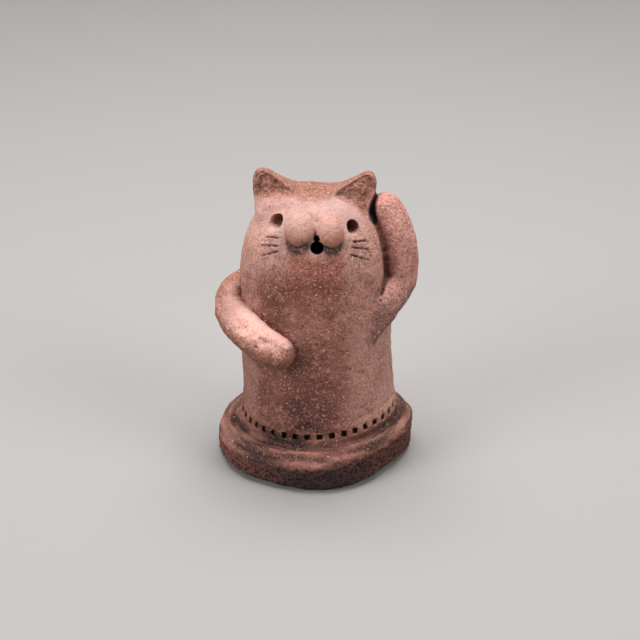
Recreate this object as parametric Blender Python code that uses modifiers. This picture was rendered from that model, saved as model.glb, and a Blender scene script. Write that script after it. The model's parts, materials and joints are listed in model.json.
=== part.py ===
"""A hollow clay cat in the manner of a haniwa: one piece of fired clay, open underneath.

The script is in metres, with +Z up. The origin is on the floor, under the middle of the figure, and the
face looks along -Y. Run it with blender --background --python part.py, or from Blender's text editor.
"""

import math

import bmesh
import bpy
from mathutils import Matrix, Vector

MM = 0.001

# The clay tube and its head
CROWN_HEIGHT = 69.4 * MM  # floor to the top of the head
HEAD_HEIGHT = 22.3 * MM  # the part of that over which the tube rounds in
TUBE_WIDTH = 38.8 * MM  # across the tube at its foot
HEAD_WIDTH = 36.5 * MM  # across the tube at the cheeks
TUBE_WALL = 4.8 * MM
CROWN_SQUARENESS = 2.6  # 2 makes the head a plain dome, more makes it boxier
CROWN_LEAN = -1.2 * MM  # how far the crown stands to the side of the foot
TUBE_SIDEWAYS = 0.7 * MM  # from the origin to the middle of the tube's foot
TUBE_BACK = 0.9 * MM

# The slab that the tube stands on
SLAB_WIDTH = 48.9 * MM
SLAB_RIM_HEIGHT = 6.4 * MM
SLAB_TOP_HEIGHT = 8.9 * MM
SLAB_CURL = 2.2 * MM  # how much higher its rim curls up at the viewer's right
COLLAR_HEIGHT = 13.4 * MM  # how far the slab's clay has been smoothed up the tube
FLOOR_ALLOWANCE = 3.0 * MM  # what is cut off flat below the slab

# The ridge pinched up over the head, with an ear at each end
EAR_RISE = 6.0 * MM  # from the top of the head to the tip of the higher ear
RIDGE_THICKNESS = 3.4 * MM
RIDGE_BACK = 1.2 * MM  # from the middle of the tube
RIDGE_SPREAD_FRONT = 0.54  # how much thicker it gets in front, for each ear's rise down
RIDGE_SPREAD_BACK = 1.20
RIDGE_THIN_TOP = 1.1  # where it is at its own thickness, as a share of the ears' rise

# The rolled arms
ARM_THICKNESS = 8.1 * MM

# The pellets of the muzzle
MUZZLE_WIDTH = 7.8 * MM
MUZZLE_TALL = 8.8 * MM
MUZZLE_DEPTH = 5.8 * MM

# The punched and scratched marks
EYE_WIDTH = 3.2 * MM
MOUTH_WIDTH = 3.2 * MM
NOTCH_WIDTH = 1.3 * MM
NOTCH_TALL = 2.6 * MM
WHISKER_WIDTH = 0.7 * MM
WHISKER_DEPTH = 0.55 * MM
STITCH_WIDTH = 1.25 * MM
STITCH_DEPTH = 1.5 * MM
STITCH_COUNT = 40

# How finely the clay is worked
CLAY_VOXEL = 0.5 * MM
SMOOTHING_COUNT = 8
CLAY_FACETS = 5600

CLAY_COLOUR = (0.36, 0.155, 0.115, 1.0)


def tube_radius(height):
    """Half the tube's width at a height: a slow taper up to the cheeks, then the rounded head."""
    cheek = CROWN_HEIGHT - HEAD_HEIGHT
    if height <= cheek:
        share = max(height, 0.0) / cheek
        return (TUBE_WIDTH + (HEAD_WIDTH - TUBE_WIDTH) * share) / 2
    rise = min((height - cheek) / HEAD_HEIGHT, 1.0)
    return HEAD_WIDTH / 2 * (1 - rise**CROWN_SQUARENESS) ** (1 / CROWN_SQUARENESS)


def around(angle, radius, height):
    """A point about the tube's middle. Angle 0 is the front, 90 the viewer's right, -90 the viewer's left."""
    turn = math.radians(angle)
    side = TUBE_SIDEWAYS + CROWN_LEAN * height / CROWN_HEIGHT
    return Vector((side + radius * math.sin(turn), TUBE_BACK - radius * math.cos(turn), height))


def skin_normal(angle, height):
    """The direction that the tube's skin faces."""
    step = 0.1 * MM
    rise = (tube_radius(height + step) - tube_radius(height - step)) / (2 * step)
    turn = math.radians(angle)
    return Vector((math.sin(turn), -math.cos(turn), -rise)).normalized()


def on_tube(angle, height, out=0.0):
    """A point on the tube's skin, or that far out from it."""
    return around(angle, tube_radius(height), height) + skin_normal(angle, height) * out


def facing(direction):
    """A rotation that turns +Z to a direction."""
    return Vector(direction).to_track_quat("Z", "Y").to_matrix().to_4x4()


def collection(name):
    made = bpy.data.collections.new(name)
    bpy.context.scene.collection.children.link(made)
    return made


def object_of(shape, name, home):
    """An object made from a bmesh, with its faces pointing out."""
    bmesh.ops.recalc_face_normals(shape, faces=shape.faces)
    mesh = bpy.data.meshes.new(name)
    shape.to_mesh(mesh)
    shape.free()
    made = bpy.data.objects.new(name, mesh)
    home.objects.link(made)
    return made


def cutter(shape, name):
    """An object that is only used to cut."""
    made = object_of(shape, name, cutters)
    made.hide_render = True
    made.display_type = "WIRE"
    return made


def evaluated_mesh(thing):
    bpy.context.view_layer.update()
    graph = bpy.context.evaluated_depsgraph_get()
    return bpy.data.meshes.new_from_object(thing.evaluated_get(graph))


def mesh_of_curve(coil):
    """A closed bmesh from a curve with filled caps. The curve itself is removed."""
    shape = bmesh.new()
    shape.from_mesh(evaluated_mesh(coil))
    bpy.data.objects.remove(coil)
    bmesh.ops.remove_doubles(shape, verts=shape.verts, dist=0.01 * MM)
    return shape


def turned_form(profile, segments, place):
    """A closed form turned from a profile, which lists its radii and heights from the top to the bottom.

    Place then sets each point by its angle, radius and height, so the form can lean or go out of round.
    """
    outline = bmesh.new()
    points = [(0.0, profile[0][1]), *profile, (0.0, profile[-1][1])]
    corners = [outline.verts.new((radius, 0.0, height)) for radius, height in points]
    for upper, lower in zip(corners, corners[1:]):
        outline.edges.new((upper, lower))
    blank = object_of(outline, "blank", clay)
    turn = blank.modifiers.new("turn", "SCREW")
    turn.steps = segments
    turn.render_steps = segments
    turn.use_merge_vertices = True
    turn.merge_threshold = 0.01 * MM
    shape = bmesh.new()
    shape.from_mesh(evaluated_mesh(blank))
    bpy.data.objects.remove(blank)
    for vertex in shape.verts:
        side, depth, height = vertex.co
        vertex.co = place(math.degrees(math.atan2(side, -depth)), math.hypot(side, depth), height)
    return shape


def ball(size, matrix, segments=20):
    """An egg of that width, height and depth, placed by a matrix."""
    shape = bmesh.new()
    scale = Matrix.Diagonal((*(side / 2 for side in size), 1.0))
    bmesh.ops.create_uvsphere(
        shape, u_segments=segments, v_segments=segments // 2, radius=1.0, matrix=matrix @ scale
    )
    return shape


# How the patted slab goes out of round: waves about it, how far out in mm, and the angle of a crest
SLAB_WAVES = ((1, 0.5, -100), (2, 0.6, -33), (4, 0.35, 6), (5, 0.3, 14))


def slab_radius(angle):
    """Half the slab's width at an angle."""
    swell = sum(out * math.cos(math.radians(waves * (angle - crest))) for waves, out, crest in SLAB_WAVES)
    return SLAB_WIDTH / 2 + swell * MM


def slab_rise(angle):
    """How much higher the slab stands at an angle than at the viewer's left."""
    return SLAB_CURL * ((1 + math.cos(math.radians(angle - 62))) / 2) ** 2.5


def stitch_height(angle):
    """The row of stitches rises to the viewer's right."""
    return COLLAR_HEIGHT - 0.8 * MM + 1.3 * MM * math.sin(math.radians(angle - 12))


def make_tube():
    steps_up = 14
    steps_over = 12
    cheek = CROWN_HEIGHT - HEAD_HEIGHT
    heights = []
    for step in range(steps_over):
        swing = math.radians(90 * (steps_over - 1 - step) / steps_over)
        heights.append(cheek + HEAD_HEIGHT * math.sin(swing) ** (2 / CROWN_SQUARENESS))
    for step in range(steps_up):
        heights.append(cheek * (steps_up - 1 - step) / steps_up)
    profile = [(HEAD_WIDTH / 16, CROWN_HEIGHT)]
    profile += [(tube_radius(height), height) for height in heights]
    return object_of(turned_form(profile, 48, around), "clay_tube", clay)


def make_slab():
    half = SLAB_WIDTH / 2
    lap = tube_radius(COLLAR_HEIGHT)
    # Each step is a share of the way out from the tube's skin to the slab's edge, and a height
    steps = [
        (-0.30, COLLAR_HEIGHT + 0.3 * MM),
        (0.03, COLLAR_HEIGHT),
        (0.09, 0.5 * SLAB_TOP_HEIGHT + 0.5 * COLLAR_HEIGHT),
        (0.17, SLAB_TOP_HEIGHT + 0.7 * MM),
        (0.30, SLAB_TOP_HEIGHT),
        (0.60, SLAB_TOP_HEIGHT - 0.2 * MM),
        (0.83, 0.5 * SLAB_RIM_HEIGHT + 0.5 * SLAB_TOP_HEIGHT),
        (0.96, SLAB_RIM_HEIGHT),
        (1.00, 0.85 * SLAB_RIM_HEIGHT),
        (1.00, 0.35 * SLAB_RIM_HEIGHT),
        (0.98, 0.3 * MM),
        (0.97, -FLOOR_ALLOWANCE),
    ]
    profile = [(lap + (half - lap) * share, height) for share, height in steps]

    def place(angle, radius, height):
        share = (radius - lap) / (half - lap)
        turn = math.radians(angle)
        outward = Vector((math.sin(turn), -math.cos(turn), 0.0))
        edge = outward * slab_radius(angle)
        skin = around(angle, lap, 0.0)
        lift = slab_rise(angle) * min(max(height / SLAB_RIM_HEIGHT, 0.0), 1.0)
        level = skin.lerp(edge, share) if share > 0 else skin + outward * (radius - lap)
        return Vector((level.x, level.y, height + lift))

    return object_of(turned_form(profile, 56, place), "clay_slab", clay)


# An arm's route round the tube: angle, height as a share of the crown's, and two shares of the arm's
# thickness, how far it stands off from the tube's skin and how thick it is there
HANGING_ARM = (
    (-106, 0.677, -0.49, 0.62),
    (-98, 0.663, -0.20, 0.76),
    (-91, 0.628, 0.20, 0.88),
    (-87, 0.608, 0.32, 0.94),
    (-83, 0.585, 0.36, 0.98),
    (-74, 0.565, 0.31, 1.03),
    (-60, 0.553, 0.30, 1.09),
    (-49, 0.536, 0.28, 1.11),
    (-39, 0.519, 0.27, 1.09),
    (-31, 0.510, 0.26, 1.05),
    (-26, 0.506, 0.25, 0.98),
)
RAISED_ARM = (
    (49, 0.487, -0.20, 0.34),
    (51, 0.530, -0.11, 0.56),
    (54, 0.573, 0.00, 0.72),
    (59, 0.610, 0.11, 0.86),
    (66, 0.637, 0.19, 0.92),
    (75, 0.657, 0.26, 0.97),
    (81, 0.689, 0.37, 1.01),
    (83, 0.742, 0.43, 1.03),
    (84, 0.801, 0.46, 1.03),
    (86, 0.856, 0.49, 1.01),
    (90, 0.902, 0.56, 0.96),
    (94, 0.939, 0.69, 0.87),
)


def make_arm(name, route):
    """A rolled coil of clay laid along its route, with a rounded hand at the end."""
    curve = bpy.data.curves.new(name, "CURVE")
    curve.dimensions = "3D"
    curve.bevel_depth = ARM_THICKNESS / 2
    curve.bevel_resolution = 4
    curve.resolution_u = 6
    curve.use_fill_caps = True
    spline = curve.splines.new("BEZIER")
    spline.bezier_points.add(len(route) - 1)
    for point, (angle, level, stand_off, thick) in zip(spline.bezier_points, route):
        height = level * CROWN_HEIGHT
        point.co = around(angle, tube_radius(height) + stand_off * ARM_THICKNESS, height)
        point.radius = thick
        point.handle_left_type = "AUTO"
        point.handle_right_type = "AUTO"
    hand = Vector(spline.bezier_points[-1].co)
    hand_radius = ARM_THICKNESS / 2 * route[-1][-1]
    coil = bpy.data.objects.new(name, curve)
    clay.objects.link(coil)
    shape = mesh_of_curve(coil)
    place = Matrix.Translation(hand)
    bmesh.ops.create_uvsphere(shape, u_segments=20, v_segments=10, radius=hand_radius, matrix=place)
    return object_of(shape, name, clay)


# The outline of the ridge and its ears from the front: sideways as a share of half the head's width, and
# up from the top of the head as a share of the ears' rise
RIDGE_OUTLINE = (
    (-0.79, -1.23),
    (-0.795, -0.48),
    (-0.82, 0.10),
    (-0.805, 0.77),
    (-0.71, 1.00),
    (-0.59, 0.93),
    (-0.44, 0.60),
    (-0.27, 0.37),
    (0.00, 0.32),
    (0.25, 0.27),
    (0.405, 0.42),
    (0.55, 0.67),
    (0.70, 0.87),
    (0.80, 0.75),
    (0.845, 0.27),
    (0.815, -0.40),
    (0.77, -1.23),
    (0.05, -1.57),
)


def on_ridge(side, rise, forward):
    """A point by its shares of the head's half width and of the ears' rise, and how far it is forward."""
    x = TUBE_SIDEWAYS + CROWN_LEAN + side * HEAD_WIDTH / 2
    return Vector((x, TUBE_BACK + RIDGE_BACK - forward, CROWN_HEIGHT + rise * EAR_RISE))


def make_ridge():
    curve = bpy.data.curves.new("ear_ridge", "CURVE")
    curve.dimensions = "2D"
    curve.fill_mode = "BOTH"
    curve.resolution_u = 6
    rounding = 0.7 * RIDGE_THICKNESS / 2
    curve.extrude = RIDGE_THICKNESS / 2 - rounding
    curve.bevel_depth = rounding
    curve.bevel_resolution = 3
    curve.offset = -rounding
    spline = curve.splines.new("BEZIER")
    spline.use_cyclic_u = True
    spline.bezier_points.add(len(RIDGE_OUTLINE) - 1)
    for point, (side, rise) in zip(spline.bezier_points, RIDGE_OUTLINE):
        point.co = (side * HEAD_WIDTH / 2, rise * EAR_RISE, 0.0)
        point.handle_left_type = "AUTO"
        point.handle_right_type = "AUTO"
    plate = bpy.data.objects.new("ear_ridge", curve)
    clay.objects.link(plate)
    shape = mesh_of_curve(plate)
    # The plate thickens down from the ears' tips, more at the back
    for vertex in shape.verts:
        side, up, forward = vertex.co
        rise = up / EAR_RISE
        spread = RIDGE_SPREAD_FRONT if forward > 0 else RIDGE_SPREAD_BACK
        forward *= 1 + spread * (RIDGE_THIN_TOP - rise)
        vertex.co = on_ridge(side / (HEAD_WIDTH / 2), rise, forward)
    return object_of(shape, "ear_ridge", clay)


def make_muzzle(name, angle, level, share):
    """A pellet of clay pressed on to the face."""
    height = level * CROWN_HEIGHT
    nose_down = skin_normal(angle, height) - Vector((0.0, 0.0, 0.35))
    place = Matrix.Translation(on_tube(angle, height, 0.1 * MUZZLE_DEPTH)) @ facing(nose_down)
    size = (MUZZLE_WIDTH * share, MUZZLE_TALL * share, MUZZLE_DEPTH * share)
    return object_of(ball(size, place), name, clay)


def make_hand_rest():
    """The clay behind the ear that the raised hand is pressed against."""
    height = 0.905 * CROWN_HEIGHT
    place = Matrix.Translation(around(97, tube_radius(height) + 0.2 * ARM_THICKNESS, height))
    return object_of(ball([0.62 * ARM_THICKNESS] * 3, place), "hand_rest", clay)


def fuse(things, name):
    """One clay body from the overlapping pieces, with its joints smoothed over as if by a thumb."""
    shape = bmesh.new()
    for thing in things:
        shape.from_mesh(thing.data)
        bpy.data.objects.remove(thing)
    body = object_of(shape, name, clay)
    knead = body.modifiers.new("knead", "REMESH")
    knead.mode = "VOXEL"
    knead.voxel_size = CLAY_VOXEL
    thumb = body.modifiers.new("thumb", "SMOOTH")
    thumb.factor = 0.5
    thumb.iterations = SMOOTHING_COUNT
    body.data = evaluated_mesh(body)
    body.modifiers.clear()
    return body


def press_ear(body, side, rise, reach, depth):
    """A thumb mark in the front of an ear: the clay within reach of a place goes back, fading to nothing."""
    place = on_ridge(side, rise, 0.8 * RIDGE_THICKNESS)
    for vertex in body.data.vertices:
        share = 1 - ((vertex.co - place).length / reach) ** 2
        if share > 0 and vertex.normal.y < 0:
            vertex.co.y += depth * share**2


def facet(body, count):
    """Thins the body to about that many triangles."""
    thin = body.modifiers.new("thin", "DECIMATE")
    thin.ratio = count / (2 * len(body.data.polygons))
    body.data = evaluated_mesh(body)
    body.modifiers.clear()


def cut_floor():
    """Everything below the floor, so that the slab stands flat."""
    shape = bmesh.new()
    side = 2 * SLAB_WIDTH
    thick = 4 * FLOOR_ALLOWANCE
    place = Matrix.Translation((0.0, 0.0, -thick / 2)) @ Matrix.Diagonal((side, side, thick, 1.0))
    bmesh.ops.create_cube(shape, size=1.0, matrix=place)
    cutter(shape, "cut_floor")


def cut_hollow():
    """The room inside the tube, open at the floor."""
    inside = CROWN_HEIGHT - TUBE_WALL
    cheek = CROWN_HEIGHT - HEAD_HEIGHT
    profile = []
    for swing in (84, 67, 50, 34, 17):
        rise = math.sin(math.radians(swing)) ** (2 / CROWN_SQUARENESS)
        round_in = (1 - rise**CROWN_SQUARENESS) ** (1 / CROWN_SQUARENESS)
        profile.append(((HEAD_WIDTH / 2 - TUBE_WALL) * round_in, cheek + (inside - cheek) * rise))
    profile.insert(0, (profile[0][0] * 0.4, inside))
    for share in (1.0, 0.75, 0.5, 0.25, 0.0):
        profile.append((tube_radius(cheek * share) - TUBE_WALL, cheek * share))
    profile.append((tube_radius(0.0) - TUBE_WALL, -2 * FLOOR_ALLOWANCE))
    cutter(turned_form(profile, 24, around), "cut_hollow")


def cut_hole(name, angle, level, size):
    """A hole punched through the wall from the front and a little above. Its size is a width and a height."""
    height = level * CROWN_HEIGHT
    direction = (skin_normal(angle, height) + Vector((0.0, -0.9, 0.45))).normalized()
    place = Matrix.Translation(on_tube(angle, height)) @ facing(direction)
    place = place @ Matrix.Diagonal((*size, 4 * TUBE_WALL, 1.0))
    shape = bmesh.new()
    bmesh.ops.create_cone(
        shape, cap_ends=True, segments=18, radius1=0.5, radius2=0.5, depth=1.0, matrix=place
    )
    cutter(shape, name)


def cut_stroke(name, start_angle, start_level, end_angle, end_level):
    """A short scratch from one angle and level to another."""
    angle = (start_angle + end_angle) / 2
    height = (start_level + end_level) / 2 * CROWN_HEIGHT
    reach = on_tube(end_angle, end_level * CROWN_HEIGHT) - on_tube(start_angle, start_level * CROWN_HEIGHT)
    normal = skin_normal(angle, height)
    along = reach.normalized()
    across = normal.cross(along).normalized()
    turn = Matrix((along, across, normal)).transposed().to_4x4()
    place = Matrix.Translation(on_tube(angle, height)) @ turn
    size = (reach.length + WHISKER_WIDTH, WHISKER_WIDTH, 2 * WHISKER_DEPTH)
    cutter(ball(size, place, segments=12), name)


def cut_stitches():
    """The row of square holes that a stick pressed into the joint."""
    shape = bmesh.new()
    for number in range(STITCH_COUNT):
        angle = 360 * number / STITCH_COUNT + 1
        height = stitch_height(angle)
        direction = (skin_normal(angle, height) + Vector((0.0, 0.0, 0.35))).normalized()
        place = Matrix.Translation(on_tube(angle, height, 0.3 * MM)) @ facing(direction)
        place = place @ Matrix.Diagonal((STITCH_WIDTH, STITCH_WIDTH, 2 * STITCH_DEPTH, 1.0))
        bmesh.ops.create_cube(shape, size=1.0, matrix=place)
    cutter(shape, "cut_stitches")


def clay_material():
    material = bpy.data.materials.new("unglazed_red_clay")
    material.use_nodes = True
    surface = material.node_tree.nodes["Principled BSDF"]
    surface.inputs["Base Color"].default_value = CLAY_COLOUR
    surface.inputs["Roughness"].default_value = 0.85
    return material


for old in list(bpy.data.objects):
    bpy.data.objects.remove(old)
clay = collection("haniwa_cat")
cutters = collection("cutters")

pieces = [
    make_tube(),
    make_slab(),
    make_arm("hanging_arm", HANGING_ARM),
    make_arm("raised_arm", RAISED_ARM),
    make_ridge(),
    make_muzzle("left_muzzle", -15, 0.941, 0.97),
    make_muzzle("right_muzzle", 16.5, 0.925, 0.93),
    make_hand_rest(),
]
figure = fuse(pieces, "cat_figure")
press_ear(figure, -0.66, 0.35, 0.77 * EAR_RISE, 0.38 * RIDGE_THICKNESS)
press_ear(figure, 0.66, 0.18, 0.87 * EAR_RISE, 0.44 * RIDGE_THICKNESS)
facet(figure, CLAY_FACETS)
figure.data.materials.clear()
figure.data.materials.append(clay_material())

cut_floor()
cut_hollow()
cut_hole("cut_left_eye", -45.6, 0.958, (EYE_WIDTH, 1.12 * EYE_WIDTH))
cut_hole("cut_right_eye", 43.5, 0.939, (EYE_WIDTH, 1.12 * EYE_WIDTH))
cut_hole("cut_mouth", 2.2, 0.893, (MOUTH_WIDTH, MOUTH_WIDTH))
cut_hole("cut_notch", 2.5, 0.918, (NOTCH_WIDTH, NOTCH_TALL))
# Each whisker's ends: angle and height as a share of the crown's, near the mouth and then on the cheek
WHISKERS = (
    (-37.0, 0.908, -50.5, 0.906),
    (-34.6, 0.885, -51.5, 0.878),
    (-33.2, 0.867, -48.5, 0.836),
    (36.8, 0.895, 50.0, 0.885),
    (35.7, 0.878, 50.0, 0.856),
    (32.2, 0.857, 48.5, 0.820),
)
for number, ends in enumerate(WHISKERS):
    cut_stroke(f"cut_whisker_{number + 1}", *ends)
cut_stitches()

cut = figure.modifiers.new("cuts", "BOOLEAN")
cut.operation = "DIFFERENCE"
cut.operand_type = "COLLECTION"
cut.collection = cutters
figure.data.shade_flat()
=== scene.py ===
"""The looks of a hand-built clay cat in the manner of a haniwa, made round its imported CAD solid.

One fired piece: a clay tube rounded in to a head, stitched on to a patted slab, with rolled arms, a pinched
ridge with two ears, pellets for the muzzle, and punched and scratched marks. Metres, +Z up, face along -Y.
"""

import json
import math

import bmesh
import bpy
import numpy as np
from mathutils import Matrix, Vector

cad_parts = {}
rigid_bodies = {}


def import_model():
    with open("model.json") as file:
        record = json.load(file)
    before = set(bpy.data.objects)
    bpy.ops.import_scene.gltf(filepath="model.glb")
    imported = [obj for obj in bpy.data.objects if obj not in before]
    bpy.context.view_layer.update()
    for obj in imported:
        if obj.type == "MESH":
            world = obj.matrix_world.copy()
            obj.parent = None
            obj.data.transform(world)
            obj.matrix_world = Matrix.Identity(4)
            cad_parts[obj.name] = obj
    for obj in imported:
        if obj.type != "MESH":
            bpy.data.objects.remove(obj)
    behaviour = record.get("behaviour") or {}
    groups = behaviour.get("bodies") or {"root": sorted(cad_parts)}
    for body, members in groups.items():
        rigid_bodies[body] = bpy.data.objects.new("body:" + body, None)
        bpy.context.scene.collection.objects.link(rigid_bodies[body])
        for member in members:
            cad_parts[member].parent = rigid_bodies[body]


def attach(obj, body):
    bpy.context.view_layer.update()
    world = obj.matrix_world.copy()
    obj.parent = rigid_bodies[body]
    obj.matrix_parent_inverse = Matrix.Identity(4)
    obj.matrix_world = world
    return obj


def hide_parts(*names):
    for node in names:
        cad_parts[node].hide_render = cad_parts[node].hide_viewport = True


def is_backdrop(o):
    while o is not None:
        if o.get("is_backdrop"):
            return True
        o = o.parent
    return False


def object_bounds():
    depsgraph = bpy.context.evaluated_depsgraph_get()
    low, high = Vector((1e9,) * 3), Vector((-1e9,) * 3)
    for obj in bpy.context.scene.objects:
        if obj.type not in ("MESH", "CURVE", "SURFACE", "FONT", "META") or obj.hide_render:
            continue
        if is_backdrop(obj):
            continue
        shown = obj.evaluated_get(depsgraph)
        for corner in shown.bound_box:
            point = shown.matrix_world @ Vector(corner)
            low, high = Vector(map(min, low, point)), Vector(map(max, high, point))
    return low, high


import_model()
cad_low, cad_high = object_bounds()
MM = 0.001

# ----------------------------------------
# The clay tube and its head. The real one is a sheet of gritty red clay rolled into a tube, closed over at
# the top and thumbed into a boxy dome that leans a little to the viewer's left.
# ----------------------------------------
CROWN_HEIGHT = 69.4 * MM
HEAD_HEIGHT = 22.3 * MM
TUBE_WIDTH = 38.8 * MM
HEAD_WIDTH = 36.5 * MM
TUBE_WALL = 4.8 * MM
CROWN_SQUARENESS = 2.6
CROWN_LEAN = -1.2 * MM
TUBE_SIDEWAYS = 0.7 * MM
TUBE_BACK = 0.9 * MM


def tube_radius(height):
    """Half the tube's width at a height, or at each of an array of heights."""
    cheek = CROWN_HEIGHT - HEAD_HEIGHT
    share = np.clip(height / cheek, 0.0, 1.0)
    rise = np.clip((height - cheek) / HEAD_HEIGHT, 0.0, 1.0)
    taper = (TUBE_WIDTH + (HEAD_WIDTH - TUBE_WIDTH) * share) / 2
    return taper * (1 - rise**CROWN_SQUARENESS) ** (1 / CROWN_SQUARENESS)


def around(angle, radius, height):
    """A point about the tube's middle. Angle 0 is the front, 90 the viewer's right, -90 the viewer's left."""
    turn = math.radians(angle)
    side = TUBE_SIDEWAYS + CROWN_LEAN * height / CROWN_HEIGHT
    return Vector((side + radius * math.sin(turn), TUBE_BACK - radius * math.cos(turn), height))


def skin_normal(angle, height):
    """The direction that the tube's skin faces."""
    step = 0.1 * MM
    rise = (tube_radius(height + step) - tube_radius(height - step)) / (2 * step)
    turn = math.radians(angle)
    return Vector((math.sin(turn), -math.cos(turn), -rise)).normalized()


def on_tube(angle, height, out=0.0):
    return around(angle, float(tube_radius(height)), height) + skin_normal(angle, height) * out


def facing(direction):
    """A rotation that turns +Z to a direction."""
    return Vector(direction).to_track_quat("Z", "Y").to_matrix().to_4x4()


def turned_lump(profile, steps, place):
    """A closed lump spun from radii and heights, top to bottom, each point then placed by angle."""
    lump = bmesh.new()
    points = [(0.0, profile[0][1]), *profile, (0.0, profile[-1][1])]
    corners = [lump.verts.new((radius, 0.0, height)) for radius, height in points]
    for upper, lower in zip(corners, corners[1:]):
        lump.edges.new((upper, lower))
    bmesh.ops.spin(
        lump, geom=lump.verts[:] + lump.edges[:], axis=(0, 0, 1), cent=(0, 0, 0),
        angle=2 * math.pi, steps=steps, use_merge=True,
    )
    bmesh.ops.remove_doubles(lump, verts=lump.verts, dist=0.001 * MM)
    for vertex in lump.verts:
        side, depth, height = vertex.co
        vertex.co = place(math.degrees(math.atan2(side, -depth)), math.hypot(side, depth), height)
    bmesh.ops.recalc_face_normals(lump, faces=lump.faces)
    return lump


def lump_mesh(lump, name):
    mesh = bpy.data.meshes.new(name)
    lump.to_mesh(mesh)
    lump.free()
    return mesh


cheek = CROWN_HEIGHT - HEAD_HEIGHT
heights = []
for step in range(20):
    swing = math.radians(90 * (19 - step) / 20)
    heights.append(cheek + HEAD_HEIGHT * math.sin(swing) ** (2 / CROWN_SQUARENESS))
heights += [cheek * (23 - step) / 24 for step in range(24)]
profile = [(HEAD_WIDTH / 16, CROWN_HEIGHT)] + [(float(tube_radius(h)), h) for h in heights]
wet_lumps = [lump_mesh(turned_lump(profile, 96, around), "tube")]

# ----------------------------------------
# The slab. The real one is a lump of the same clay patted out by hand on a coarse cloth, so it is out of
# round, its rim curls up at the viewer's right, and its edge took the cloth's mesh.
# ----------------------------------------
SLAB_WIDTH = 48.9 * MM
SLAB_RIM_HEIGHT = 6.4 * MM
SLAB_TOP_HEIGHT = 8.9 * MM
SLAB_CURL = 2.2 * MM
COLLAR_HEIGHT = 13.4 * MM
FLOOR_ALLOWANCE = 3.0 * MM
SLAB_WAVES = ((1, 0.5, -100), (2, 0.6, -33), (4, 0.35, 6), (5, 0.3, 14))  # waves, mm out, crest's angle


def slab_radius(angle):
    """Half the slab's width at an angle, or at each of an array of angles."""
    swell = sum(out * np.cos(np.radians(waves * (angle - crest))) for waves, out, crest in SLAB_WAVES)
    return SLAB_WIDTH / 2 + swell * MM


def slab_rise(angle):
    """How much higher the slab stands at an angle than at the viewer's left."""
    return SLAB_CURL * ((1 + np.cos(np.radians(angle - 62))) / 2) ** 2.5


lap = float(tube_radius(COLLAR_HEIGHT))
reach = SLAB_WIDTH / 2 - lap
slab_steps = [
    (-0.30, COLLAR_HEIGHT + 0.3 * MM),
    (0.03, COLLAR_HEIGHT),
    (0.09, 0.5 * SLAB_TOP_HEIGHT + 0.5 * COLLAR_HEIGHT),
    (0.17, SLAB_TOP_HEIGHT + 0.7 * MM),
    (0.30, SLAB_TOP_HEIGHT),
    (0.60, SLAB_TOP_HEIGHT - 0.2 * MM),
    (0.83, 0.5 * SLAB_RIM_HEIGHT + 0.5 * SLAB_TOP_HEIGHT),
    (0.96, SLAB_RIM_HEIGHT),
    (1.00, 0.85 * SLAB_RIM_HEIGHT),
    (1.00, 0.35 * SLAB_RIM_HEIGHT),
    (0.98, 0.3 * MM),
    (0.97, -FLOOR_ALLOWANCE),
]


def on_slab(angle, radius, height):
    share = (radius - lap) / reach
    turn = math.radians(angle)
    outward = Vector((math.sin(turn), -math.cos(turn), 0.0))
    skin = around(angle, lap, 0.0)
    lift = float(slab_rise(angle)) * min(max(height / SLAB_RIM_HEIGHT, 0.0), 1.0)
    level = skin.lerp(outward * float(slab_radius(angle)), share)
    if share < 0:
        level = skin + outward * (radius - lap)
    return Vector((level.x, level.y, height + lift))


profile = [(lap + reach * share, height) for share, height in slab_steps]
wet_lumps.append(lump_mesh(turned_lump(profile, 112, on_slab), "slab"))

# ----------------------------------------
# The arms. Each real one is a coil of clay rolled under the palm, bent round the tube and pressed on to it:
# the viewer's left one hangs and crosses the front, and the right one bends up with its hand by the ear.
# ----------------------------------------
ARM_THICKNESS = 8.1 * MM
PALM_SQUARING = 0.07
# Angle, height as a share of the crown's, stand-off and thickness as shares of the arm's thickness
HANGING_ARM = (
    (-106, 0.665, -0.49, 0.62),
    (-98, 0.651, -0.20, 0.76),
    (-91, 0.617, 0.20, 0.89),
    (-87, 0.597, 0.32, 0.96),
    (-83, 0.577, 0.36, 1.00),
    (-74, 0.562, 0.31, 1.07),
    (-60, 0.556, 0.30, 1.15),
    (-49, 0.541, 0.28, 1.18),
    (-39, 0.524, 0.27, 1.16),
    (-31.5, 0.513, 0.26, 1.11),
    (-27.5, 0.508, 0.25, 1.02),
)
RAISED_ARM = (
    (45.5, 0.488, -0.12, 0.34),
    (47.5, 0.520, -0.12, 0.52),
    (50.5, 0.552, -0.10, 0.74),
    (55, 0.587, -0.06, 0.90),
    (60, 0.619, 0.05, 0.97),
    (67, 0.643, 0.13, 0.98),
    (75, 0.661, 0.20, 0.99),
    (81, 0.689, 0.30, 1.01),
    (83, 0.742, 0.34, 1.08),
    (84, 0.801, 0.35, 1.09),
    (86, 0.856, 0.37, 1.08),
    (89, 0.902, 0.42, 1.04),
    (92, 0.938, 0.50, 0.98),
)


def smooth_through(points, steps):
    """More points along the smooth curve through these."""
    points = [np.array(point, float) for point in points]
    points = [2 * points[0] - points[1], *points, 2 * points[-1] - points[-2]]
    line = []
    for a, b, c, d in zip(points, points[1:], points[2:], points[3:]):
        for step in range(steps):
            t = step / steps
            line.append(b + t * (c - a) / 2 + t**2 * (a - 2.5 * b + 2 * c - d / 2)
                        + t**3 * (1.5 * (b - c) + (d - a) / 2))
    return line + [points[-2]]


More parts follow.
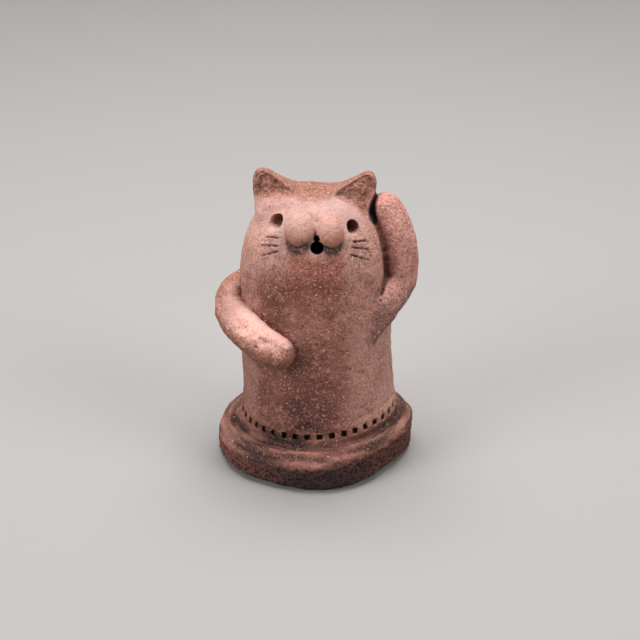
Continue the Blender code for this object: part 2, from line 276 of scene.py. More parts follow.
def arm_line(route):
    """The arm's middle line, as points with the arm's radius there."""
    stations = []
    for angle, level, stand_off, thick in route:
        height = level * CROWN_HEIGHT
        place = around(angle, float(tube_radius(height)) + stand_off * ARM_THICKNESS, height)
        stations.append((*place, thick * ARM_THICKNESS / 2))
    return smooth_through(stations, 5)


def rolled_coil(line, sides=28):
    """A coil drawn out ring by ring along a line, with a rounded end."""
    middles = [Vector(row[:3]) for row in line]
    radii = [row[3] for row in line]
    end = (middles[-1] - middles[-2]).normalized()
    for swing in (15, 30, 45, 58, 70, 80):
        middles.append(middles[len(line) - 1] + end * radii[len(line) - 1] * math.sin(math.radians(swing)))
        radii.append(radii[len(line) - 1] * math.cos(math.radians(swing)))
    coil = bmesh.new()
    ring = None
    for number, (middle, radius) in enumerate(zip(middles, radii)):
        ahead = middles[min(number + 1, len(middles) - 1)] - middles[max(number - 1, 0)]
        outward = Vector((middle.x - TUBE_SIDEWAYS, middle.y - TUBE_BACK, 0.0))
        across = ahead.cross(outward).normalized()
        turn = Matrix((across, ahead.normalized().cross(across), ahead.normalized())).transposed()
        if ring is None:
            ring = bmesh.ops.create_circle(coil, cap_ends=True, segments=sides, radius=1.0)["verts"]
        else:
            loop = [e for e in coil.edges if e.verts[0] in ring and e.verts[1] in ring]
            drawn = bmesh.ops.extrude_edge_only(coil, edges=loop)["geom"]
            ring = [v for v in drawn if isinstance(v, bmesh.types.BMVert)]
            ring = ordered_like(old_ring, ring)
        for index, vertex in enumerate(ring):
            bearing = 2 * math.pi * index / sides
            squared = radius * (1 + PALM_SQUARING * math.cos(4 * bearing))
            local = Vector((squared * math.cos(bearing), squared * math.sin(bearing), 0.0))
            vertex.co = middle + turn @ local
        old_ring = ring
    bmesh.ops.contextual_create(coil, geom=ring)
    bmesh.ops.recalc_face_normals(coil, faces=coil.faces)
    return coil


def ordered_like(old_ring, new_ring):
    """The newly drawn ring's vertices, in the order of the ring that they were drawn from."""
    fresh = set(new_ring)
    return [next(e.other_vert(v) for e in v.link_edges if e.other_vert(v) in fresh) for v in old_ring]


hanging_line = arm_line(HANGING_ARM)
raised_line = arm_line(RAISED_ARM)
wet_lumps.append(lump_mesh(rolled_coil(hanging_line), "hanging_arm"))
wet_lumps.append(lump_mesh(rolled_coil(raised_line), "raised_arm"))

rest_height = 0.905 * CROWN_HEIGHT
hand_rest = bmesh.new()
bmesh.ops.create_uvsphere(
    hand_rest, u_segments=24, v_segments=12, radius=0.31 * ARM_THICKNESS,
    matrix=Matrix.Translation(around(97, float(tube_radius(rest_height)) + 0.2 * ARM_THICKNESS, rest_height)),
)
wet_lumps.append(lump_mesh(hand_rest, "hand_rest"))

# ----------------------------------------
# The ridge and the ears. The real ones are pinched up out of the crown between finger and thumb, so they
# are one thin wall from ear to ear, rough and browner than the rest.
# ----------------------------------------
EAR_RISE = 6.0 * MM
RIDGE_THICKNESS = 3.4 * MM
RIDGE_BACK = 1.2 * MM
# Sideways as a share of half the head's width, and up from the crown as a share of the ears' rise
RIDGE_OUTLINE = (
    (-0.79, -1.23),
    (-0.795, -0.48),
    (-0.82, 0.10),
    (-0.805, 0.75),
    (-0.72, 0.97),
    (-0.61, 0.93),
    (-0.44, 0.62),
    (-0.27, 0.34),
    (0.00, 0.28),
    (0.25, 0.23),
    (0.405, 0.34),
    (0.55, 0.57),
    (0.69, 0.82),
    (0.78, 0.71),
    (0.82, 0.24),
    (0.80, -0.40),
    (0.76, -1.23),
    (0.05, -1.57),
)


def on_ridge(side, rise, forward):
    """A point by its shares of the head's half width and of the ears' rise, and how far it is forward."""
    x = TUBE_SIDEWAYS + CROWN_LEAN + side * HEAD_WIDTH / 2
    return Vector((x, TUBE_BACK + RIDGE_BACK - forward, CROWN_HEIGHT + rise * EAR_RISE))


ridge = bmesh.new()
rounding = 0.35 * RIDGE_THICKNESS
outline = smooth_through((*RIDGE_OUTLINE, RIDGE_OUTLINE[0]), 4)[:-1]
corners = [
    ridge.verts.new((side * HEAD_WIDTH / 2, rise * EAR_RISE, -RIDGE_THICKNESS / 2)) for side, rise in outline
]
front = ridge.faces.new(corners)
drawn = bmesh.ops.extrude_face_region(ridge, geom=[front])["geom"]
drawn = [v for v in drawn if isinstance(v, bmesh.types.BMVert)]
bmesh.ops.translate(ridge, verts=drawn, vec=(0.0, 0.0, RIDGE_THICKNESS))
bmesh.ops.recalc_face_normals(ridge, faces=ridge.faces)
edges = [e for e in ridge.edges if abs(e.verts[0].co.z - e.verts[1].co.z) < 0.1 * MM]
bmesh.ops.bevel(
    ridge, geom=edges, offset=rounding, segments=4, profile=0.5, affect="EDGES", material=-1, clamp_overlap=True
)
for vertex in ridge.verts:
    side, up, forward = vertex.co
    rise = up / EAR_RISE
    forward *= 1 + (0.54 if forward > 0 else 1.20) * (1.1 - rise)
    vertex.co = on_ridge(side / (HEAD_WIDTH / 2), rise, forward)
bmesh.ops.triangulate(ridge, faces=[f for f in ridge.faces if len(f.verts) > 4])
bmesh.ops.recalc_face_normals(ridge, faces=ridge.faces)
wet_lumps.append(lump_mesh(ridge, "ridge"))

# Clay was thumbed up from the forehead on to the foot of the ridge: middle, and half sizes, in mm
for middle, half in (
    ((-9.3, -1.7, 64.8), (5.6, 4.4, 5.2)),
    ((-0.4, -1.3, 67.2), (8.0, 3.0, 3.2)),
):
    pad = bmesh.new()
    bmesh.ops.create_uvsphere(
        pad, u_segments=32, v_segments=16, radius=1.0,
        matrix=Matrix.Translation(Vector(middle) * MM) @ Matrix.Diagonal((*(Vector(half) * MM), 1.0)),
    )
    wet_lumps.append(lump_mesh(pad, "pad"))

# ----------------------------------------
# The muzzle. The real one is two pellets of clay, rolled between the fingers and pressed on side by side so
# that they overhang the mouth.
# ----------------------------------------
MUZZLE_WIDTH = 7.7 * MM
MUZZLE_TALL = 8.2 * MM
MUZZLE_DEPTH = 6.6 * MM
PELLET_SAG = 1.28
MUZZLES = ((-15.2, 0.945, 0.94), (15.4, 0.938, 0.87))  # angle, level, share of the size

for angle, level, share in MUZZLES:
    height = level * CROWN_HEIGHT
    nose_down = skin_normal(angle, height) - Vector((0.0, 0.0, 0.16))
    place = Matrix.Translation(on_tube(angle, height, 0.1 * MUZZLE_DEPTH)) @ facing(nose_down)
    size = (MUZZLE_WIDTH * share / 2, MUZZLE_TALL * share / 2, MUZZLE_DEPTH * share / 2, 1.0)
    pellet = bmesh.new()
    bmesh.ops.create_uvsphere(pellet, u_segments=32, v_segments=16, radius=1.0)
    for vertex in pellet.verts:
        # Its weight settled, so it is fuller below
        settled = max(-vertex.co.y, 0.0) ** 2
        vertex.co.x *= 1 + 0.26 * settled
        vertex.co.z *= 1 + 0.20 * settled
        vertex.co.y *= 1 + (PELLET_SAG - 1) * settled
    bmesh.ops.transform(pellet, matrix=place @ Matrix.Diagonal(size), verts=pellet.verts)
    wet_lumps.append(lump_mesh(pellet, "pellet"))

# ----------------------------------------
# The joined clay. The real lumps were pressed together wet and thumbed over, so the joints are soft
# creases and the skin is never quite even.
# ----------------------------------------
CLAY_VOXEL = 0.35 * MM
SMOOTHING_COUNT = 8

joined = bmesh.new()
for mesh in wet_lumps:
    joined.from_mesh(mesh)
cat = bpy.data.objects.new("clay_cat", lump_mesh(joined, "clay_cat"))
bpy.context.scene.collection.objects.link(cat)


def settle(thing):
    """Turns what the modifiers make into the object's own mesh."""
    bpy.context.view_layer.update()
    graph = bpy.context.evaluated_depsgraph_get()
    made = bpy.data.meshes.new_from_object(thing.evaluated_get(graph))
    thing.modifiers.clear()
    thing.data = made


knead = cat.modifiers.new("knead", "REMESH")
knead.mode = "VOXEL"
knead.voxel_size = CLAY_VOXEL
thumb = cat.modifiers.new("thumb", "SMOOTH")
thumb.factor = 0.5
thumb.iterations = SMOOTHING_COUNT
settle(cat)


def smooth_where(thing, share, passes):
    """Smooths the clay as a wet finger does, by a share from 0 to 1 at each point."""
    wiped = thing.vertex_groups.new(name="wiped")
    for index in np.nonzero(share > 0.02)[0]:
        wiped.add([int(index)], float(share[index]), "REPLACE")
    finger = thing.modifiers.new("finger", "SMOOTH")
    finger.factor = 0.5
    finger.iterations = passes
    finger.vertex_group = "wiped"
    settle(thing)
    thing.vertex_groups.clear()


def clay_points(thing):
    """Its points and the directions that they face, as arrays."""
    points = np.empty(len(thing.data.vertices) * 3)
    thing.data.vertices.foreach_get("co", points)
    normals = np.empty(len(thing.data.vertices) * 3)
    thing.data.vertex_normals.foreach_get("vector", normals)
    return points.reshape(-1, 3), normals.reshape(-1, 3)


def set_points(thing, points):
    thing.data.vertices.foreach_set("co", points.ravel())
    thing.data.update()


def unevenness(points, grain, seed):
    """Seeded noise from -1 to 1 whose swells are about a grain across, in metres."""
    table = np.random.default_rng(seed).uniform(-1, 1, (32, 32, 32))
    cell = np.floor(points / grain).astype(int)
    part = points / grain - cell
    part = part * part * (3 - 2 * part)
    total = np.zeros(len(points))
    for corner in np.ndindex(2, 2, 2):
        i, j, k = ((cell + corner) % 32).T
        total += np.prod(np.where(corner, part, 1 - part), axis=1) * table[i, j, k]
    return total


def bearings(points):
    """Each point's angle about the tube, its height, and how far out it is from the tube's skin."""
    side = points[:, 0] - TUBE_SIDEWAYS - CROWN_LEAN * points[:, 2] / CROWN_HEIGHT
    forward = TUBE_BACK - points[:, 1]
    out = np.hypot(side, forward) - tube_radius(points[:, 2])
    return np.degrees(np.arctan2(side, forward)), points[:, 2], out


def bump(distance, width):
    """A soft swell: 1 in the middle, and nearly 0 from twice the width on."""
    return np.exp(-((distance / width) ** 2))


def ramp(value, start, end):
    """0 before start, 1 after end, and smooth between. Start may lie above end."""
    share = np.clip((value - start) / (end - start), 0.0, 1.0)
    return share * share * (3 - 2 * share)


def shape_clay(thing, shift_of):
    """Moves each point of the clay along the way that it faces, by what shift_of says in metres."""
    points, normals = clay_points(thing)
    points += normals * shift_of(points, normals)[:, None]
    set_points(thing, points)


def hollowness(thing, passes):
    """How hollow the clay is at each point: above 0 in a crease, below 0 on an edge, averaged over passes."""
    points, normals = clay_points(thing)
    ends = np.empty(len(thing.data.edges) * 2, int)
    thing.data.edges.foreach_get("vertices", ends)
    near, far = ends.reshape(-1, 2).T
    reach = points[far] - points[near]
    reach /= np.maximum(np.linalg.norm(reach, axis=1), 1e-9)[:, None]
    total = len(points)
    links = np.maximum(np.bincount(near, minlength=total) + np.bincount(far, minlength=total), 1)
    hollow = np.bincount(near, (normals[near] * reach).sum(axis=1), total)
    hollow = (hollow - np.bincount(far, (normals[far] * reach).sum(axis=1), total)) / links
    for _ in range(passes):
        shared = np.bincount(near, hollow[far], total) + np.bincount(far, hollow[near], total)
        hollow = (hollow + shared / links) / 2
    return hollow


def near_line(points, line):
    """How far each point is from a line of points, such as an arm's middle."""
    nearest = np.full(len(points), 1.0)
    for place in line:
        nearest = np.minimum(nearest, np.sqrt(((points - np.array(place[:3])) ** 2).sum(axis=1)))
    return nearest


def hand_swell(points, normals):
    """The unevenness of hand work, more on the arms than on the smoothed face."""
    angle, height, out = bearings(points)
    rough = 1.0 - 0.5 * ramp(height, 52 * MM, 60 * MM) * (out < 1 * MM)
    swell = 0.20 * unevenness(points, 9 * MM, 1)
    swell += rough * (0.13 * unevenness(points, 3.6 * MM, 2) + 0.09 * unevenness(points, 1.5 * MM, 3))
    swell += rough * 0.08 * unevenness(points, 0.8 * MM, 5)
    swell += 0.45 * ramp(angle, -58, -85) * ramp(angle, -150, -110) * bump(height - 50 * MM, 7 * MM)
    # The chest was wiped round with a finger, which left shallow level dents
    chest = ramp(np.abs(angle), 75, 40) * bump(height - 42 * MM, 9 * MM) * (out < 1.2 * MM)
    swell += 0.22 * chest * unevenness(points * (0.28, 0.28, 1.0), 2.6 * MM, 4)
    return swell * MM


def pressed_joints(points, normals):
    """The creases where the arms and the pellets were pressed on, which go deeper than smoothed clay would."""
    hollow = hollowness(cat, 24)
    angle, height, out = bearings(points)
    raised = 0.6 * ramp(near_line(points, raised_line), 7.5 * MM, 6 * MM) * ramp(height, 44 * MM, 49 * MM)
    raised *= ramp(angle, 120, 105)
    hanging = 0.22 * ramp(near_line(points, hanging_line), 7.5 * MM, 6 * MM)
    pellets = 0.3 * ramp(np.abs(angle), 34, 29) * ramp(height, 54 * MM, 56 * MM) * ramp(height, 67 * MM, 65 * MM)
    where = np.maximum(np.maximum(raised, hanging), pellets)
    return -where * np.clip((hollow - 0.02) * 9, 0, 0.8) * MM


# The brow was smoothed with a wet finger, so that the forehead runs up on to the ridge
points, normals = clay_points(cat)
brow = bump(points[:, 2] - 68.2 * MM, 2.6 * MM)
brow = np.maximum(brow, bump(points[:, 2] - 64 * MM, 6.5 * MM) * ramp(points[:, 0], -2 * MM, -6 * MM))
brow *= ramp(points[:, 1], 2.5 * MM, 0.5 * MM)
brow *= ramp(points[:, 1], -13 * MM, -8 * MM)
beside_nose = ramp(np.abs(points[:, 0]), 12 * MM, 10 * MM) * (points[:, 1] < -6 * MM)
low_edge = np.where(points[:, 0] < 0.8 * MM, 66.6 * MM, 64.0 * MM)
brow = np.maximum(brow, 0.5 * beside_nose * ramp(points[:, 2], low_edge, low_edge + 2.2 * MM))
between = bump(points[:, 0] - 0.7 * MM, 1.9 * MM) * ramp(points[:, 2], 64.6 * MM, 66.2 * MM)
brow = np.maximum(brow, between * (points[:, 1] < -6 * MM))
smooth_where(cat, brow, passes=70)

shape_clay(cat, hand_swell)
shape_clay(cat, pressed_joints)


def inside_outline(u, v, outline):
    """How deep each point lies inside a closed outline, from 0 at its edge, negative outside."""
    outline = np.array(outline, float) * MM
    nearest = np.full(len(u), 1.0)
    within = np.zeros(len(u), bool)
    for (ax, ay), (bx, by) in zip(outline, np.roll(outline, -1, axis=0)):
        length = (bx - ax) ** 2 + (by - ay) ** 2
        share = np.clip(((u - ax) * (bx - ax) + (v - ay) * (by - ay)) / length, 0, 1)
        nearest = np.minimum(nearest, np.hypot(u - ax - share * (bx - ax), v - ay - share * (by - ay)))
        crosses = (ay > v) != (by > v)
        reach_x = ax + (v - ay) * (bx - ax) / np.where(by == ay, 1.0, by - ay)
        within ^= crosses & (u < reach_x)
    return np.where(within, nearest, -nearest)


def from_stroke(points, start, end):
    """How far each point is from a straight stroke."""
    start, stroke = np.array(start), np.array(end - start)
    share = np.clip((points - start) @ stroke / (stroke @ stroke), 0, 1)
    return np.linalg.norm(points - start - share[:, None] * stroke, axis=1)


# The thumbed hollows of the ears, and the pocket and the crease between the raised arm and the head, drawn
# as they are seen from a little above: sideways and up in mm
EAR_SEEN_FROM = math.radians(27)
LEFT_HOLLOW = (
    (-14.7, 29.7), (-14.8, 34.6), (-14.0, 36.1), (-12.4, 36.0), (-9.7, 34.4), (-7.6, 32.6), (-6.1, 31.2),
    (-8.6, 30.2), (-11.6, 29.5),
)
RIGHT_HOLLOW = (
    (4.0, 29.7), (6.4, 31.9), (8.8, 33.5), (11.0, 34.8), (12.8, 35.1), (13.9, 33.8), (14.1, 31.5), (13.4, 29.3),
    (12.7, 27.5), (12.5, 25.4), (12.2, 23.9), (10.5, 26.0), (8.6, 27.7), (6.7, 28.5),
)
ARM_POCKET = (
    (14.5, 30.8), (13.6, 29.4), (12.9, 27.7), (12.6, 26.0), (12.9, 24.2), (13.8, 23.1), (14.9, 23.4), (14.6, 25.8),
    (14.5, 28.0), (15.0, 29.9),
)
ARM_CREASE = ((14.3, 23.9), (15.5, 20.6), (16.3, 17.0), (16.8, 13.5), (16.9, 10.8), (16.2, 8.0), (15.7, 6.3))


def seen_from_above(points):
    """Sideways, and up as it is seen from above, of each point."""
    up = (points[:, 1] - TUBE_BACK) * math.sin(EAR_SEEN_FROM)
    return points[:, 0], up + (points[:, 2] - 34.9 * MM) * math.cos(EAR_SEEN_FROM)


points, normals = clay_points(cat)
across, up = seen_from_above(points)
turned_to_front = ramp(-normals[:, 1], -0.1, 0.25) * (points[:, 2] > 60 * MM)
torn = 0.30 * unevenness(points, 1.3 * MM, 6) + 0.30 * unevenness(points * (1, 1, 0.6), 0.7 * MM, 7)
torn += 0.32 * unevenness(points, 0.42 * MM, 16)
for outline, depth in ((LEFT_HOLLOW, 1.0), (RIGHT_HOLLOW, 1.3)):
    deep = inside_outline(across, up, outline)
    points[:, 1] += turned_to_front * ramp(deep, -0.25 * MM, 1.0 * MM) * (depth + torn) * MM
deep = inside_outline(across, up, ARM_POCKET)
points[:, 1] += (normals[:, 1] < 0.1) * (points[:, 2] > 55 * MM) * ramp(deep, -0.3 * MM, 0.5 * MM) * 1.6 * MM
set_points(cat, points)


def beside_arm(points):
    """How near each point is to the crease between the raised arm and the head: 1 in it, 0 away from it."""
    across, up = seen_from_above(points)
    seen = np.stack([across, up], axis=1)
    nearest = np.full(len(points), 1.0)
    for start, end in zip(ARM_CREASE, ARM_CREASE[1:]):
        nearest = np.minimum(nearest, from_stroke(seen, np.array(start) * MM, np.array(end) * MM))
    return bump(nearest, 0.45 * MM) * (points[:, 1] < 3 * MM) * (points[:, 2] > 40 * MM)


shape_clay(cat, lambda points, normals: -0.5 * MM * beside_arm(points))


def round_pellets(points):
    """For each pellet, how far each point is beside and above its middle, as shares of its half sizes."""
    angle, height, out = bearings(points)
    for middle, level, share in MUZZLES:
        beside = np.radians(angle - middle) * tube_radius(height) / (MUZZLE_WIDTH * share / 2)
        above = (height - level * CROWN_HEIGHT) / (MUZZLE_TALL * share / 2)
        yield beside, np.where(above < 0, above / PELLET_SAG, above)


def pellet_creases(points, normals):
    """A tight crease runs round each of the muzzle's pellets, deeper round the viewer's left one."""
    shift = np.zeros(len(points))
    for (beside, above), deep in zip(round_pellets(points), (0.10, 0.02)):
        shift -= deep * bump(np.hypot(beside, above) - 1.04, 0.10)
    return shift * MM * (points[:, 2] > 54 * MM)


shape_clay(cat, pellet_creases)
points, normals = clay_points(cat)
angle, height, out = bearings(points)
joint = ramp(np.abs(angle), 34, 30) * ramp(height, 55 * MM, 57 * MM) * ramp(height, 67 * MM, 65 * MM)
smooth_where(cat, joint * (normals[:, 1] < 0), passes=20)


def smears(points):
    """Noise drawn out round the slab, as a thumb smears clay. It fades out where its ends meet at the back."""
    about = np.arctan2(points[:, 0], -points[:, 1])
    radius = np.hypot(points[:, 0], points[:, 1])
    drawn_out = np.stack([radius, about * 3.2 * MM, points[:, 2] * 0.5], axis=1)
    smear = unevenness(drawn_out, 0.75 * MM, 11) + 0.8 * unevenness(drawn_out, 1.9 * MM, 12)
    return smear * ramp(np.abs(np.degrees(about)), 179, 150)


def foot_lip(angle):
    """How high the lip of the tube's foot stands over the stitches at an angle: an arch in front."""
    arch = np.clip(1 - np.abs(angle + 6) / np.where(angle < -6, 17.0, 11.0), 0, 1)
    return (14.1 + 2.1 * arch**1.3) * MM


def slab_forms(points, normals):
    """The slab: smeared rings on top, a groove at the foot of the tube, a fold at the right, the tube foot's lip,
    dents on the side.
    """
    angle, height, out = bearings(points)
    about = np.degrees(np.arctan2(points[:, 0], -points[:, 1]))
    radius = np.hypot(points[:, 0], points[:, 1])
    low = ramp(height, 14.5 * MM, 12.5 * MM)
    on_top = ramp(normals[:, 2], 0.2, 0.55) * low * ramp(out, 0.3 * MM, 1.2 * MM)
    shift = 0.26 * on_top * smears(points)
    # The groove where the tube's foot was pressed down, deepest at the front
    front = ramp(np.abs(angle), 110, 35)
    shift -= (0.25 + 0.45 * front) * bump(out - 1.5 * MM, 0.7 * MM) * low * ramp(height, 6 * MM, 8 * MM)
    # The clay's edge that folded over at the viewer's right, with a crease behind it
    fold = ramp(about, 24, 40) * ramp(about, 108, 90)
    line = (21.9 + (about - 38) / 42 * 1.4) * MM
    shift += low * fold * ramp(normals[:, 2], -0.1, 0.3) * bump(radius - line, 0.65 * MM) * 0.65
    shift -= on_top * fold * bump(radius - line + 1.9 * MM, 0.75 * MM) * 1.0
    # The lip of the tube's foot, with a hollow between it and the stitches
    lip = foot_lip(angle)
    facing_front = ramp(np.abs(angle + 4), 30, 20) * (out > -1 * MM) * (out < 2 * MM)
    under_lip = ramp(height, lip + 0.5 * MM, lip - 0.7 * MM) * ramp(height, 12.9 * MM, 13.6 * MM)
    shift -= 0.6 * facing_front * under_lip * ramp(lip, 14.1 * MM, 15 * MM)
    shift += 0.12 * facing_front * bump(height - lip - 0.6 * MM, 0.8 * MM)
    # The side took many small dents
    side = ramp(normals[:, 2], 0.5, 0.2) * ramp(height, 9.5 * MM, 7.5 * MM) * (radius > 21 * MM)
    shift += side * (0.22 * unevenness(points, 2.4 * MM, 13) + 0.12 * unevenness(points, 1.1 * MM, 14))
    return shift * MM


shape_clay(cat, slab_forms)

# The slab's lower edge is rounded under, more at the front
points, normals = clay_points(cat)
about = np.degrees(np.arctan2(points[:, 0], -points[:, 1]))
radius = np.hypot(points[:, 0], points[:, 1])
edge_lift = (1.6 + 0.3 * unevenness(points * (1, 1, 0), 6 * MM, 15)) * MM
tuck = np.clip(1 - points[:, 2] / edge_lift, 0, 1) ** 0.8 * 2.0 * MM * (radius > 20 * MM)
points[:, :2] *= (1 - tuck / np.maximum(radius, 1 * MM))[:, None]
set_points(cat, points)

# ----------------------------------------
# The cuts: eyes, mouth and notch punched with a stick, whiskers scratched, stitches pressed round the
# joint, the room inside the tube, and the flat underside.
# ----------------------------------------
EYE_WIDTH = 3.3 * MM
MOUTH_WIDTH = 3.25 * MM
NOTCH_WIDTH = 2.0 * MM
NOTCH_TALL = 1.6 * MM
WHISKER_WIDTH = 0.48 * MM
WHISKER_DEPTH = 0.7 * MM
STITCH_WIDTH = 1.55 * MM
STITCH_DEPTH = 1.5 * MM
STITCH_COUNT = 40
WHISKERS = (
    (-37.0, 0.908, -50.5, 0.897),
    (-34.6, 0.885, -51.5, 0.868),
    (-33.2, 0.868, -48.5, 0.836),
    (36.8, 0.895, 50.0, 0.885),
    (35.7, 0.878, 50.0, 0.856),
    (32.2, 0.857, 48.5, 0.820),
)
# Angle, level, width, height, the bearing and the lift that the stick came in at, and how pointed the top is
HOLES = (
    (-47.8, 0.944, 1.20 * EYE_WIDTH, 1.08 * EYE_WIDTH, -36, 4, 0.0),
    (43.8, 0.933, 1.10 * EYE_WIDTH, 1.05 * EYE_WIDTH, 24, 12, 0.0),
    (2.0, 0.893, MOUTH_WIDTH, MOUTH_WIDTH, 0, 22, 0.0),
    (2.0, 0.921, NOTCH_WIDTH, NOTCH_TALL, 0, 22, 0.5),
)


def stitch_place(number):
    """A stitch's angle about the tube and its height."""
    angle = 360 * number / STITCH_COUNT + 1
    return angle, COLLAR_HEIGHT - 0.8 * MM + 1.3 * MM * math.sin(math.radians(angle - 12))


def whisker_ends():
    """Where each whisker's scratch starts and ends."""
    for near_angle, near_level, far_angle, far_level in WHISKERS:
        yield on_tube(near_angle, near_level * CROWN_HEIGHT), on_tube(far_angle, far_level * CROWN_HEIGHT)


def tool_burrs(points, normals):
    """The clay that the stick pushed up: burrs along the scratches and under the stitches, soft hole rims."""
    raised = np.zeros(len(points))
    grain = 0.7 + 0.9 * unevenness(points, 0.7 * MM, 8)
    crumbs = unevenness(points, 0.45 * MM, 17)
    for start, end in whisker_ends():
        far = from_stroke(points, start, end)
        raised += 0.18 * grain * bump(far - 0.55 * MM, 0.3 * MM) - 0.15 * bump(far, 0.3 * MM)
        raised += 0.26 * bump(far, 0.9 * MM) * crumbs
    for angle, level, wide, tall, *_ in HOLES[:3]:
        far = np.linalg.norm(points - np.array(on_tube(angle, level * CROWN_HEIGHT)), axis=1)
        raised -= 0.16 * bump(far - (wide + tall) / 4, 0.4 * MM)
    for number in range(STITCH_COUNT):
        angle, height = stitch_place(number)
        below = np.array(on_tube(angle, height - 1.15 * MM, 0.9 * MM))
        raised += 0.42 * bump(np.linalg.norm(points - below, axis=1), 0.62 * MM)
        at_hole = np.array(on_tube(angle, height, 0.4 * MM))
        raised -= 0.22 * bump(np.linalg.norm(points - at_hole, axis=1), 0.95 * MM)
    return raised * MM


shape_clay(cat, tool_burrs)

cuts = bpy.data.collections.new("cuts")
bpy.context.scene.collection.children.link(cuts)


def cut_with(lump, name):
    made = bpy.data.objects.new(name, lump_mesh(lump, name))
    made.hide_render = True
    cuts.objects.link(made)


for number, (angle, level, wide, tall, bearing, lift, pointed) in enumerate(HOLES):
    height = level * CROWN_HEIGHT
    turn, rise = math.radians(bearing), math.radians(lift)
    direction = (math.sin(turn) * math.cos(rise), -math.cos(turn) * math.cos(rise), math.sin(rise))
    place = Matrix.Translation(on_tube(angle, height)) @ facing(direction)
    place = place @ Matrix.Diagonal((wide, tall, 4 * TUBE_WALL, 1.0))
    punch = bmesh.new()
    bmesh.ops.create_cone(punch, cap_ends=True, segments=32, radius1=0.5, radius2=0.5, depth=1.0)
    for vertex in punch.verts:
        vertex.co.x *= 1 - pointed * (vertex.co.y + 0.5)
    bmesh.ops.transform(punch, matrix=place, verts=punch.verts)
    cut_with(punch, f"punch_{number + 1}")

for number, (whisker, (start, end)) in enumerate(zip(WHISKERS, whisker_ends())):
    near_angle, near_level, far_angle, far_level = whisker
    # Each scratch is three strokes of uneven depth, end over end
    scratch = bmesh.new()
    for share, reach, depth in ((0.14, 0.26, 1.0), (0.48, 0.30, 0.8), (0.82, 0.28, 0.65)):
        angle = near_angle + (far_angle - near_angle) * share
        height = (near_level + (far_level - near_level) * share) * CROWN_HEIGHT
        stroke = end - start
        normal = skin_normal(angle, height)
        along = stroke.normalized()
        turn = Matrix((along, normal.cross(along).normalized(), normal)).transposed().to_4x4()
        size = (stroke.length * reach, WHISKER_WIDTH / 2 * (0.75 + 0.3 * depth), WHISKER_DEPTH * depth, 1.0)
        place = Matrix.Translation(on_tube(angle, height)) @ turn @ Matrix.Diagonal(size)
        bmesh.ops.create_uvsphere(scratch, u_segments=14, v_segments=8, radius=1.0, matrix=place)
    cut_with(scratch, f"scratch_{number + 1}")

stitching = bmesh.new()
uneven = np.random.default_rng(9)
for number in range(STITCH_COUNT):
    angle, height = stitch_place(number)
    wide, tall, lean = uneven.uniform((0.9, 0.85, -0.2), (1.12, 1.05, 0.2))
    depth = STITCH_DEPTH * (0.62 if 300 < angle < 330 else 1.0)  # the clay smeared over some at the front left
    direction = (skin_normal(angle, height) + Vector((0.0, 0.0, 0.35))).normalized()
    place = Matrix.Translation(on_tube(angle, height, 0.3 * MM)) @ facing(direction)
    size = (STITCH_WIDTH * wide, STITCH_WIDTH * tall, 2 * depth, 1.0)
    place = place @ Matrix.Rotation(lean, 4, "Z") @ Matrix.Diagonal(size)
    stick = bmesh.ops.create_cube(stitching, size=1.0)["verts"]
    corners = [e for e in stitching.edges if e.verts[0] in stick and abs(e.verts[0].co.z - e.verts[1].co.z) > 0.5]
    rounded = bmesh.ops.bevel(
        stitching, geom=corners, offset=0.2, segments=2, profile=0.5, affect="EDGES", material=-1
    )["verts"]
    stick = {v for v in (*stick, *rounded) if v.is_valid}
    bmesh.ops.transform(stitching, matrix=place, verts=list(stick))
cut_with(stitching, "stitching")

# Small pits where grit fell out: sideways, height and size in mm. The six that the photograph shows are on
# the front, and the others are in front and behind by turns.
pits = [
    (-11.2, 68.4, 0.26), (10.5, 63.6, 0.24), (-14.5, 37.8, 0.36), (8.3, 30.1, 0.3), (16.2, 47.8, 0.4),
    (15.6, 46.2, 0.3),
]
pits_shown = len(pits)
pits += [tuple(row) for row in uneven.uniform((-17, 17, 0.16), (17, 60, 0.28), (14, 3))]
pitting = bmesh.new()
for number, (side, height, size) in enumerate(pits):
    view = -1 if number % 2 == 0 or number < pits_shown else 1
    hit, place, _, _ = cat.ray_cast(Vector((side, 80 * view, height)) * MM, Vector((0.0, -view, 0.0)))
    if hit:
        spot = Matrix.Translation(place) @ Matrix.Diagonal((*([size * MM] * 3), 1.0))
        bmesh.ops.create_uvsphere(pitting, u_segments=10, v_segments=6, radius=1.0, matrix=spot)
cut_with(pitting, "pitting")

inside = CROWN_HEIGHT - TUBE_WALL
profile = []
for swing in (84, 76, 67, 58, 50, 42, 34, 25, 17, 8):
    rise = math.sin(math.radians(swing)) ** (2 / CROWN_SQUARENESS)
    round_in = (1 - rise**CROWN_SQUARENESS) ** (1 / CROWN_SQUARENESS)
    profile.append(((HEAD_WIDTH / 2 - TUBE_WALL) * round_in, cheek + (inside - cheek) * rise))
profile.insert(0, (profile[0][0] * 0.4, inside))
for share in (1.0, 0.75, 0.5, 0.25, 0.0):
    profile.append((float(tube_radius(cheek * share)) - TUBE_WALL, cheek * share))
profile.append((float(tube_radius(0.0)) - TUBE_WALL, -2 * FLOOR_ALLOWANCE))
cut_with(turned_lump(profile, 48, around), "room_inside")

floor_cut = bmesh.new()
thick = 4 * FLOOR_ALLOWANCE
below = Matrix.Translation((0.0, 0.0, -thick / 2)) @ Matrix.Diagonal((2 * SLAB_WIDTH, 2 * SLAB_WIDTH, thick, 1.0))
bmesh.ops.create_cube(floor_cut, size=1.0, matrix=below)
cut_with(floor_cut, "floor_cut")

carve = cat.modifiers.new("carve", "BOOLEAN")
carve.operation = "DIFFERENCE"
carve.operand_type = "COLLECTION"
carve.collection = cuts
carve.solver = "MANIFOLD"
settle(cat)
for cutter in list(cuts.objects):
    bpy.data.objects.remove(cutter)
bpy.data.collections.remove(cuts)

